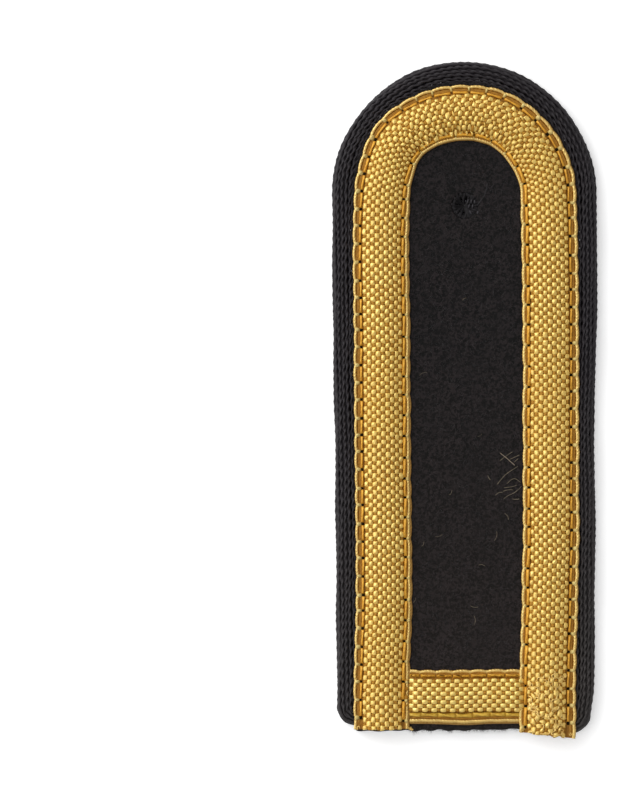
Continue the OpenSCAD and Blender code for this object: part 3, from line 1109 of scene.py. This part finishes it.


# each palette: the colour low in the hollows (painted shade), the middle colour, the colour on the crests (painted
# highlight), the heights in mm between which they blend, IOR and roughness
palettes = {
    "warp": ((0.5, 0.27, 0.042), (0.74, 0.46, 0.088), (0.84, 0.56, 0.13), -0.1, 0.35, 3.6, 0.33),
    # the bar's warp is a brighter copy of the warp's colours: painted light, for the stronger light on the bar
    "barWarp": ((0.6, 0.35, 0.055), (0.88, 0.61, 0.135), (0.96, 0.71, 0.2), -0.1, 0.35, 3.6, 0.28),
    # the weft's darker, matte brown is partly its own colour and partly painted shade, for crosswise yarn that catches
    # less of the light
    "weft": ((0.26, 0.115, 0.014), (0.375, 0.178, 0.023), (0.435, 0.212, 0.029), -0.1, 0.3, 1.45, 0.6),
    "tape": ((0.2, 0.08, 0.008), (0.28, 0.115, 0.012), (0.34, 0.14, 0.016), -0.2, 0.1, 1.6, 0.5),
    "margin": ((0.24, 0.105, 0.012), (0.33, 0.15, 0.02), (0.42, 0.2, 0.032), -0.1, 0.15, 1.6, 0.5),
    "cord": ((0.3, 0.13, 0.014), (0.55, 0.28, 0.05), (0.68, 0.4, 0.1), -0.08, 0.28, 4.5, 0.36),
    "wall": ((0.2, 0.1, 0.025), (0.28, 0.15, 0.04), (0.36, 0.2, 0.055), -0.2, 0.15, 1.6, 0.5),
    "thread": ((0.44, 0.2, 0.016), (0.64, 0.31, 0.026), (0.76, 0.38, 0.035), -0.1, 0.28, 1.9, 0.4),
    "barThread": ((0.38, 0.17, 0.014), (0.54, 0.26, 0.024), (0.66, 0.34, 0.032), -0.1, 0.28, 1.9, 0.4),
    "flatThread": ((0.36, 0.19, 0.018), (0.54, 0.32, 0.034), (0.66, 0.42, 0.055), -0.1, 0.28, 1.9, 0.4),
    "pull": ((0.3, 0.2, 0.04), (0.56, 0.43, 0.14), (0.68, 0.55, 0.22), -0.05, 0.3, 1.9, 0.45),
}
gold = {name: goldMaterial("lace" + name.capitalize(), *values) for name, values in palettes.items()}
for piece, kind in ((laceWarp, "warp"), (barWarp, "barWarp"), (laceWeft, "weft"), (barWeft, "weft"),
                    (laceTape, "tape"), (barTape, "tape"), (laceMargin, "margin"), (barMargin, "margin"),
                    (laceWall, "wall"), (barShadeWall, "wall"),
                    (laceSelvedge, "cord"), (barSelvedge, "cord"), (laceFray, "cord"), (laceTangle, "cord"), (laceThreads, "thread"),
                    (barThreads, "barThread"), (barFlatThreads, "flatThread"), (lacePulls, "pull")):
    piece.data.materials.clear()
    piece.data.materials.append(gold[kind])

# the near-black of the needle holes is painted shade
holeShadeMaterial, tree, shader = newMaterial("needleHoleShade", Roughness=0.9)
shader.inputs["Specular IOR Level"].default_value = 0.05
coords = addNode(tree, "ShaderNodeTexCoord")
fleck = addNode(tree, "ShaderNodeTexNoise", {"Vector": coords.outputs["Object"], "Scale": 3000.0})
tree.links.new(blend(tree, fleck.outputs[0], (0.003, 0.002, 0.001, 1), (0.02, 0.011, 0.004, 1)),
               shader.inputs["Base Color"])
laceHoleShades.data.materials.clear()
laceHoleShades.data.materials.append(holeShadeMaterial)

yarnMaterial, tree, shader = newMaterial("navyYarn", Roughness=0.6)
shader.inputs["Specular IOR Level"].default_value = 0.35
flat = addNode(tree, "ShaderNodeAttribute", attribute_name="flat")
stretchMap = addNode(tree, "ShaderNodeMapping", {"Vector": flat.outputs["Vector"], "Scale": (1.2, 9.0, 9.0)})
fibre = addNode(tree, "ShaderNodeTexNoise", {"Vector": stretchMap.outputs[0], "Scale": 1.6, "Detail": 4.0})
patch = addNode(tree, "ShaderNodeTexNoise", {"Vector": flat.outputs["Vector"], "Scale": 0.25, "Detail": 2.0})
colour = blend(tree, ramp(tree, fibre.outputs[0], 0.3, 0.7), (0.0078, 0.0056, 0.0072, 1), (0.0194, 0.0144, 0.0182, 1))
colour = blend(tree, ramp(tree, patch.outputs[0], 0.4, 0.65, 0.0, 0.5), colour, (0.009, 0.007, 0.009, 1))
# dust makes the lower end paler, most of all on the right
coords = addNode(tree, "ShaderNodeTexCoord")
split = addNode(tree, "ShaderNodeSeparateXYZ", {"Vector": coords.outputs["Object"]})
dust = addNode(tree, "ShaderNodeMath", {0: ramp(tree, split.outputs["Y"], 5 * mm, -50 * mm),
                                        1: ramp(tree, split.outputs["X"], -20 * mm, 20 * mm, 0.45, 1.0)}, operation="MULTIPLY")
colour = blend(tree, dust.outputs[0], colour, blend(tree, 1.0, colour, (0.014, 0.0128, 0.009, 1), "ADD"))
tree.links.new(colour, shader.inputs["Base Color"])
bump = addNode(tree, "ShaderNodeBump", {"Strength": 0.6, "Distance": 0.03 * mm, "Height": fibre.outputs[0]})
tree.links.new(bump.outputs["Normal"], shader.inputs["Normal"])
for piece in (edgingTop, edgingSide, edgingCore):
    piece.data.materials.clear()
    piece.data.materials.append(yarnMaterial)

clothMaterial, tree, shader = newMaterial("navyCloth", Roughness=0.85)
shader.inputs["Specular IOR Level"].default_value = 0.25
coords = addNode(tree, "ShaderNodeTexCoord")
fluff = addNode(tree, "ShaderNodeTexNoise", {"Vector": coords.outputs["Object"], "Scale": 2100.0, "Detail": 4.0,
                                             "Roughness": 0.65, "Distortion": 0.6})
cloud = addNode(tree, "ShaderNodeTexNoise", {"Vector": coords.outputs["Object"], "Scale": 260.0, "Detail": 3.0})
colour = blend(tree, ramp(tree, fluff.outputs[0], 0.45, 0.55), (0.0004, 0.0003, 0.0003, 1), (0.0172, 0.013, 0.0137, 1))
colour = blend(tree, ramp(tree, cloud.outputs[0], 0.4, 0.65, 0.0, 0.35), colour, (0.0045, 0.0037, 0.0042, 1))
split = addNode(tree, "ShaderNodeSeparateXYZ", {"Vector": coords.outputs["Object"]})
dust = ramp(tree, split.outputs["Y"], 10 * mm, -55 * mm)
colour = blend(tree, dust, colour, blend(tree, 1.0, colour, (0.0062, 0.0042, 0.0031, 1), "ADD"))
tree.links.new(colour, shader.inputs["Base Color"])
bump = addNode(tree, "ShaderNodeBump", {"Strength": 1.0, "Distance": 0.25 * mm, "Height": fluff.outputs[0]})
tree.links.new(bump.outputs["Normal"], shader.inputs["Normal"])

fibreMaterial, tree, shader = newMaterial("napFibre", Roughness=0.7)
coords = addNode(tree, "ShaderNodeTexCoord")
fleck = addNode(tree, "ShaderNodeTexNoise", {"Vector": coords.outputs["Object"], "Scale": 900.0})
tree.links.new(blend(tree, ramp(tree, fleck.outputs[0], 0.35, 0.65), (0.018, 0.017, 0.02, 1), (0.06, 0.056, 0.06, 1)),
               shader.inputs["Base Color"])
lintMaterial, tree, shader = newMaterial("lint", Roughness=0.7)
coords = addNode(tree, "ShaderNodeTexCoord")
fleck = addNode(tree, "ShaderNodeTexNoise", {"Vector": coords.outputs["Object"], "Scale": 500.0})
tree.links.new(blend(tree, ramp(tree, fleck.outputs[0], 0.35, 0.65), (0.11, 0.09, 0.06, 1), (0.27, 0.22, 0.15, 1)),
               shader.inputs["Base Color"])
tanMaterial, tree, shader = newMaterial("tanLint", Roughness=0.7)
shader.inputs["Base Color"].default_value = (0.3, 0.24, 0.18, 1)
eyeletMaterial, tree, shader = newMaterial("eyeletThread", Roughness=0.75)
shader.inputs["Specular IOR Level"].default_value = 0.2
flat = addNode(tree, "ShaderNodeAttribute", attribute_name="flat")
fibre = addNode(tree, "ShaderNodeTexNoise", {"Vector": flat.outputs["Vector"], "Scale": 2.4, "Detail": 3.0})
tree.links.new(blend(tree, ramp(tree, fibre.outputs[0], 0.35, 0.65), (0.005, 0.0045, 0.005, 1),
                     (0.017, 0.015, 0.0165, 1)), shader.inputs["Base Color"])
# the short stitches at the right of the hole are paler than the eyelet thread: painted light where the light falls into
# the hole
barMaterial, tree, shader = newMaterial("eyeletBar", Roughness=0.7)
shader.inputs["Base Color"].default_value = (0.026, 0.023, 0.028, 1)
endMaterial, tree, shader = newMaterial("threadEnd", Roughness=0.8)
shader.inputs["Base Color"].default_value = (0.012, 0.011, 0.013, 1)
for piece, material in ((clothPad, clothMaterial), (eyeletThread, eyeletMaterial), (clothNap, fibreMaterial),
                        (rawFibres, fibreMaterial), (lint, lintMaterial), (tanLint, tanMaterial),
                        (looseFibres, lintMaterial),
                        (eyeletBars, barMaterial), (eyeletCore, eyeletMaterial), (threadEnd, endMaterial)):
    piece.data.materials.clear()
    piece.data.materials.append(material)
markFlat(eyeletThread)
markFlat(eyeletCore)
print("made the materials")

# what each piece stands for
stands = {
    "board": [clothPad, clothNap, rawFibres, lint, tanLint, looseFibres, threadEnd],
    "edge_cord": [edgingTop, edgingSide, edgingCore],
    "lace_arch": [laceTape, laceWarp, laceWeft, laceMargin, laceWall, laceSelvedge,
                  laceThreads, lacePulls, laceHoleShades, laceFray, laceTangle],
    "lace_bar": [barTape, barWarp, barWeft, barMargin, barShadeWall, barSelvedge, barThreads, barFlatThreads],
    "eyelet": [eyeletThread, eyeletBars, eyeletCore],
}
for cadNode, pieces in stands.items():
    for piece in pieces:
        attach(piece, "root")
    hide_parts(cadNode)

# floor, light and camera
deselectAll()
bpy.ops.mesh.primitive_plane_add(size=6, location=(0, 0, 0))
floor = bpy.context.active_object
floor.name = "floor"
floorMaterial, tree, shader = newMaterial("paleFloor", Roughness=0.7)
shader.inputs["Base Color"].default_value = (0.93, 0.93, 0.93, 1)
# the floor glows a little: painted light that pales the shadows on it; there is no glow within 11 mm of the button hole
# and full glow past 17 mm, so the floor seen through the hole stays dark: painted shade
coords = addNode(tree, "ShaderNodeTexCoord")
away = addNode(tree, "ShaderNodeVectorMath", {0: coords.outputs["Object"], 1: holeCentre}, operation="DISTANCE")
under = ramp(tree, away.outputs["Value"], 11 * mm, 17 * mm)
tree.links.new(blend(tree, under, (0, 0, 0, 1), (1, 1, 1, 1)), shader.inputs["Emission Color"])
shader.inputs["Emission Strength"].default_value = 0.36
shader.inputs["Specular IOR Level"].default_value = 0.2
floor.data.materials.append(floorMaterial)

world = bpy.context.scene.world or bpy.data.worlds.new("studio")
bpy.context.scene.world = world
world.use_nodes = True
# the room is brightest at the upper left, where the window side of a studio would be
backdrop = world.node_tree.nodes["Background"]
sky = addNode(world.node_tree, "ShaderNodeTexCoord")
brightest = Vector((-0.84, 0.48, 0.35)).normalized()
aim = addNode(world.node_tree, "ShaderNodeVectorMath", {0: sky.outputs["Generated"], 1: brightest},
              operation="DOT_PRODUCT")
glow = addNode(world.node_tree, "ShaderNodeMapRange", {"Value": aim.outputs["Value"], "From Min": 0.25, "From Max": 0.75,
                                                       "To Min": 0.45, "To Max": 1.5}, interpolation_type="SMOOTHSTEP")
world.node_tree.links.new(glow.outputs["Result"], backdrop.inputs[1])
backdrop.inputs[0].default_value = (1, 1, 1, 1)


def areaLight(name, place, size, watts):
    light = bpy.data.lights.new(name, "AREA")
    light.shape = "DISK"
    light.size = size
    light.energy = watts
    lamp = bpy.data.objects.new(name, light)
    lamp.location = place
    lamp.rotation_euler = (-Vector(place)).to_track_quat("-Z", "Y").to_euler()
    bpy.context.collection.objects.link(lamp)


areaLight("key", (-0.5, 0.38, 0.38), 0.6, 2.05)

camera = bpy.data.objects.new("camera", bpy.data.cameras.new("camera"))
camera.data.lens = 239.0
camera.data.sensor_width = 36
camera.data.clip_start = 0.05
camera.location = (-24.45 * mm, -0.25 * mm, 0.9)
bpy.context.collection.objects.link(camera)
bpy.context.scene.camera = camera
bpy.context.scene.view_settings.view_transform = "Standard"

added = {piece.name: sum(len(face.vertices) - 2 for face in piece.data.polygons)
         for pieces in stands.values() for piece in pieces}
print("triangles", sum(added.values()), added)
